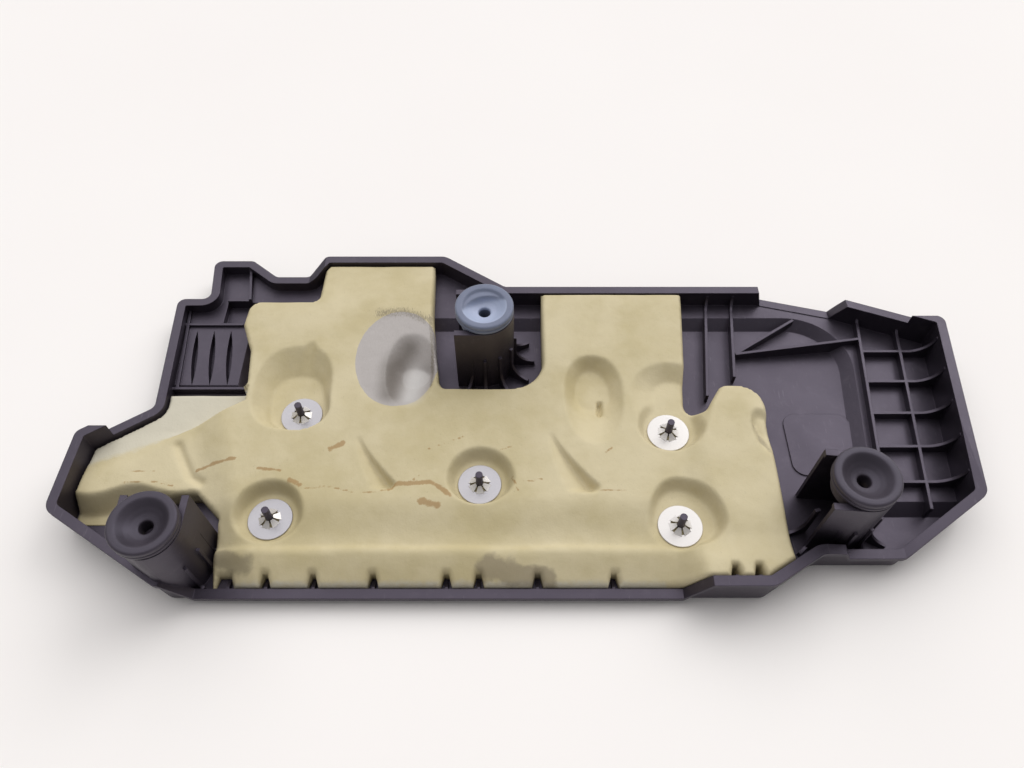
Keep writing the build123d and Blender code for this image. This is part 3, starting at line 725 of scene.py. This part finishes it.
def foam_plan(outline):
    """Plan of the foam as triangles: points, of which the first ones follow the outline, and faces."""
    ring = spread_points(outline, GRID)
    low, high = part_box("foam_pad")
    rows = np.arange(low.y / MM, high.y / MM, GRID * sin(pi / 3))
    columns = np.arange(low.x / MM, high.x / MM, GRID)
    x, y = np.meshgrid(columns, rows)
    x[1::2] += GRID / 2
    x, y = x.ravel(), y.ravel()
    keep = inside_outline(outline, x, y)
    x, y = x[keep], y[keep]
    keep = distance_to(outline + outline[:1], x, y) > KEEP_OFF
    flat = [Vector(p) for p in ring] + [Vector(p) for p in zip(x[keep], y[keep])]
    border = [(i, (i + 1) % len(ring)) for i in range(len(ring))]
    points, _, faces, *_ = delaunay_2d_cdt(flat, border, [], 1, SAME_POINT)
    return np.array(points), [tuple(f) for f in faces], len(ring)


def underside(plan):
    """Height of the foam solid's underside at each point, or at the nearest point over the solid."""
    tree = BVHTree.FromObject(frame["nodes"]["foam_pad"], bpy.context.evaluated_depsgraph_get())
    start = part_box("foam_pad")[0].z - MM
    hits = [tree.ray_cast(Vector((x * MM, y * MM, start)), Vector((0, 0, 1)))[0] for x, y in plan]
    met = np.array([hit is not None for hit in hits])
    heights = np.array([hit.z / MM if hit else 0.0 for hit in hits])
    for i in np.flatnonzero(~met):
        nearest = np.argmin(np.hypot(*(plan[met] - plan[i]).T))
        heights[i] = heights[met][nearest]
    return heights


def make_foam(finish):
    """The foam as one closed mesh: a dished top, a rounded edge, sides and the underside."""
    outline = foam_outline()
    plan, faces, count = foam_plan(outline)
    x, y = plan.T
    gap = distance_to(outline + outline[:1], x, y)
    gap[:count] = 0
    inward = np.clip(1 - gap / EDGE_ROUND, 0, 1)
    under = underside(plan)
    top = foam_top(x, y) - EDGE_ROUND * (1 - np.sqrt(1 - inward**2))
    top = np.maximum(top, under + LEAST_THICKNESS)
    points = list(zip(x, y, top))
    rows = [list(range(count))]
    for step in range(1, SKIRT_STEPS + 1):
        rows.append(list(range(len(points), len(points) + count)))
        side = top[:count] + (under[:count] - top[:count]) * step / SKIRT_STEPS
        points += zip(x[:count], y[:count], side)
    sides = []
    for upper, lower in zip(rows, rows[1:]):
        sides += [(upper[i], upper[i - 1], lower[i - 1], lower[i]) for i in range(count)]
    below = rows[-1] + list(range(len(points), len(points) + len(x) - count))
    points += zip(x[count:], y[count:], under[count:])
    base = [tuple(below[i] for i in reversed(face)) for face in faces]
    piece = add_piece("moulded_foam", points, faces + sides + base, finish, "foam", "foam_pad")
    paint_foam(piece.data, np.array(points))


def paint_foam(mesh, points):
    """Stores where the foam is pale, bald, torn, smeared, grimy and scratched, and where it gets painted
    shade and a painted highlight.
    """
    x, y = points.T[:2]
    scratch = np.zeros(len(x))
    for half_width, path in SCRATCHES:
        level = min(SCRATCH_MOST, SCRATCH_LEVEL + SCRATCH_GAIN * half_width)
        scratch = np.maximum(scratch, level_near((path, level, SCRATCH_REACH * half_width), x, y))
    paints = {
        "pale": np.maximum(shelf_share(x, y), level_near(FRAYED_EDGE, x, y)),
        "bald": bald_level(x, y),
        "torn": np.maximum(level_near(BALD_TEAR, x, y), level_near(BALD_CRACK, x, y)),
        "smear": level_near(SMEAR, x, y),
        # Grime by the left post, and painted shade along the lobe's groove
        "grime_and_shade": np.maximum(level_near(GRIME, x, y), level_near(GROOVE_PAINTED_SHADE, x, y)),
        # Painted shade on the bald hollow's left wall and a painted highlight on its floor
        "painted_shade": smooth(0, 1, level_near(DIMPLE_PAINTED_SHADE, x, y)),
        "painted_highlight": smooth(0, 1, level_near(DIMPLE_PAINTED_HIGHLIGHT, x, y)),
        "scratch": scratch,
    }
    for name, values in paints.items():
        store(mesh, name, np.clip(values, 0, 1).astype(np.float32))


# Rubber grommets: cups with a funnel, a hole and a neck under the grooved flange

# Height of the posts, steps round the axis, and spacing of the points along the profile
POST_TOP = 54.0
GROMMET_TURNS = 96
GROMMET_STEP = 0.8

# Profile: radius, and height above the post's top
GROMMET_PROFILE = (
    (3.5, -9.0),
    (13.6, -9.0),
    (14.2, -8.4),
    (14.2, -3.0),
    (13.2, -3.0),
    (13.2, 0.0),
    (16.4, 0.0),
    (17.0, 0.6),
    (17.0, 2.4),
    (16.5, 2.6),
    (16.5, 3.0),
    (17.0, 3.2),
    (17.0, 5.0),
    (16.7, 5.6),
    (16.0, 6.0),
    (13.4, 6.0),
    (12.7, 5.7),
    (12.0, 5.0),
    (9.6, 2.6),
    (7.2, 0.9),
    (5.2, 0.1),
    (4.2, -0.1),
    (3.7, -0.4),
    (3.5, -1.0),
)

# Fold in the rear grommet's funnel, beyond a circle off its centre: that circle, height and edge of the
# fold, and radius and depth of what it takes in
EYELID_CENTRE = (2.5, -7.5)
EYELID_RADIUS = 14.5
EYELID_TOP = 4.6
EYELID_EDGE = 1.6
FUNNEL_RADIUS = 13.0
FUNNEL_DEPTH = 2.4


def lathe(profile, turns, centre):
    """Points and faces of a closed profile turned round an upright axis."""
    points, faces = [], []
    rows = len(profile)
    for turn in range(turns):
        angle = 2 * pi * turn / turns
        for radius, z in profile:
            x, y = radius * cos(angle), radius * sin(angle)
            points.append((centre[0] + x, centre[1] + y, centre[2] + z))
        after = (turn + 1) % turns
        for row in range(rows):
            up = (row + 1) % rows
            faces.append((turn * rows + row, after * rows + row, after * rows + up, turn * rows + up))
    return points, faces


def folded_in(points, centre):
    """The points with the funnel's far side turned over, and how far each lies in the opening left,
    which gets a painted highlight.
    """
    folded, mouth_highlight = [], []
    for x, y, z in points:
        dx, dy = x - centre[0], y - centre[1]
        beyond = np.hypot(dx - EYELID_CENTRE[0], dy - EYELID_CENTRE[1]) - EYELID_RADIUS
        under = float(smooth(0.0, EYELID_EDGE, beyond))
        funnel = np.hypot(dx, dy) < FUNNEL_RADIUS and z > centre[2] - FUNNEL_DEPTH
        if funnel:
            z = z + (max(centre[2] + EYELID_TOP, z) - z) * under
        folded.append((x, y, z))
        mouth_highlight.append((1 - under) * funnel)
    return folded, mouth_highlight


def make_grommets(finishes):
    """A turned grommet at each bore in the record, with the finish for its side."""
    for mount in frame["record"]["mounts"]:
        if mount["kind"] != "bore":
            continue
        side = mount["name"].split("_")[0]
        centre = (mount["pos_m"][0] / MM, mount["pos_m"][1] / MM, POST_TOP)
        points, faces = lathe(spread_points(GROMMET_PROFILE, GROMMET_STEP), GROMMET_TURNS, centre)
        mouth_highlight = [0.0] * len(points)
        if side == "rear":
            points, mouth_highlight = folded_in(points, centre)
        name = f"grommet_{side}"
        piece = add_piece(name, points, faces, finishes[side], "grommet_rubber", "rubber_mounts")
        store(piece.data, "mouth_highlight", mouth_highlight)


# Push nuts: a thin ring with petals that bend up to grip the pin

# Steps round the axis, and angle in degrees above which an edge stays sharp
NUT_TURNS = 64
NUT_SHARP = 40.0

# Ring: radius, and height above the seat. Petal, from root to tip: radius, half width and height
NUT_RING = ((5.4, 0.1), (12.0, 0.1), (12.15, 0.35), (11.9, 0.6), (9.0, 0.75), (6.5, 0.7), (5.4, 0.75))
PETAL_SIDES = ((5.9, 2.35, 0.35), (3.9, 1.6, 1.2), (2.2, 0.85, 2.3))
PETAL_THICKNESS = 0.5
PETALS = 6

# Each nut is turned further than the one before it, and the rings of those to the right of a line get a
# brighter colour, a painted reflection; every petal gets that colour too
NUT_TURN_STEP = 17.0
PAINTED_REFLECTION_X = 60.0


def petal(centre, angle):
    """One tapered tooth of a nut, from its root up to the pin."""
    points, faces = [], []
    for lift in (0.0, PETAL_THICKNESS):
        for radius, half, z in PETAL_SIDES:
            for side in (-half, half):
                points.append((
                    centre[0] + radius * cos(angle) - side * sin(angle),
                    centre[1] + radius * sin(angle) + side * cos(angle),
                    centre[2] + z + lift,
                ))
    top = 2 * len(PETAL_SIDES)
    for row in range(len(PETAL_SIDES) - 1):
        a, b, c, d = 2 * row, 2 * row + 1, 2 * row + 3, 2 * row + 2
        faces += [(a, b, c, d), (top + d, top + c, top + b, top + a)]
        faces += [(a, d, top + d, top + a), (c, b, top + b, top + c)]
    faces += [(1, 0, top, top + 1), (top - 2, top - 1, 2 * top - 1, 2 * top - 2)]
    return points, faces


def make_nuts(finish):
    """The five nuts as one mesh, each on the seat of its dish."""
    points, faces, painted_highlight = [], [], []

    def take(shape, painted_reflection):
        first = len(points)
        points.extend(shape[0])
        faces.extend(tuple(first + i for i in face) for face in shape[1])
        painted_highlight.extend([painted_reflection] * len(shape[0]))

    for i, (place, seat, _) in enumerate(NUT_DISHES):
        centre = (*place, seat)
        # Painted reflection: the rings of the nuts at the right get the brighter colour
        painted_reflection = float(place[0] > PAINTED_REFLECTION_X)
        take(lathe(NUT_RING, NUT_TURNS, centre), painted_reflection)
        for k in range(PETALS):
            take(petal(centre, radians(NUT_TURN_STEP * i + 360 / PETALS * k)), 1.0)
    piece = add_piece("push_nut_set", points, faces, finish, "spring_steel", "push_nuts")
    piece.data.set_sharp_from_angle(angle=radians(NUT_SHARP))
    store(piece.data, "painted_reflection", painted_highlight)


def make_shell(finish):
    """The shell keeps its CAD mesh and gets a material."""
    shell = frame["nodes"]["cover_shell"]
    shell.data.materials.clear()
    shell.data.materials.append(finish)


add_camera()
add_lamps()
add_floor(floor_finish())
make_shell(plastic_finish())
make_foam(foam_finish())
dark_rubber = rubber_finish(
    "dark_rubber", tint=linear(44, 40, 46), bloom=linear(70, 64, 72), mouth_highlight=linear(44, 40, 46)
)
# The rear grommet's opening gets a painted highlight in a pale blue
bloomed_rubber = rubber_finish(
    "bloomed_rubber", tint=linear(92, 99, 116), bloom=linear(128, 136, 157), mouth_highlight=linear(168, 177, 199)
)
make_grommets({"left": dark_rubber, "right": dark_rubber, "rear": bloomed_rubber})
make_nuts(zinc_finish())
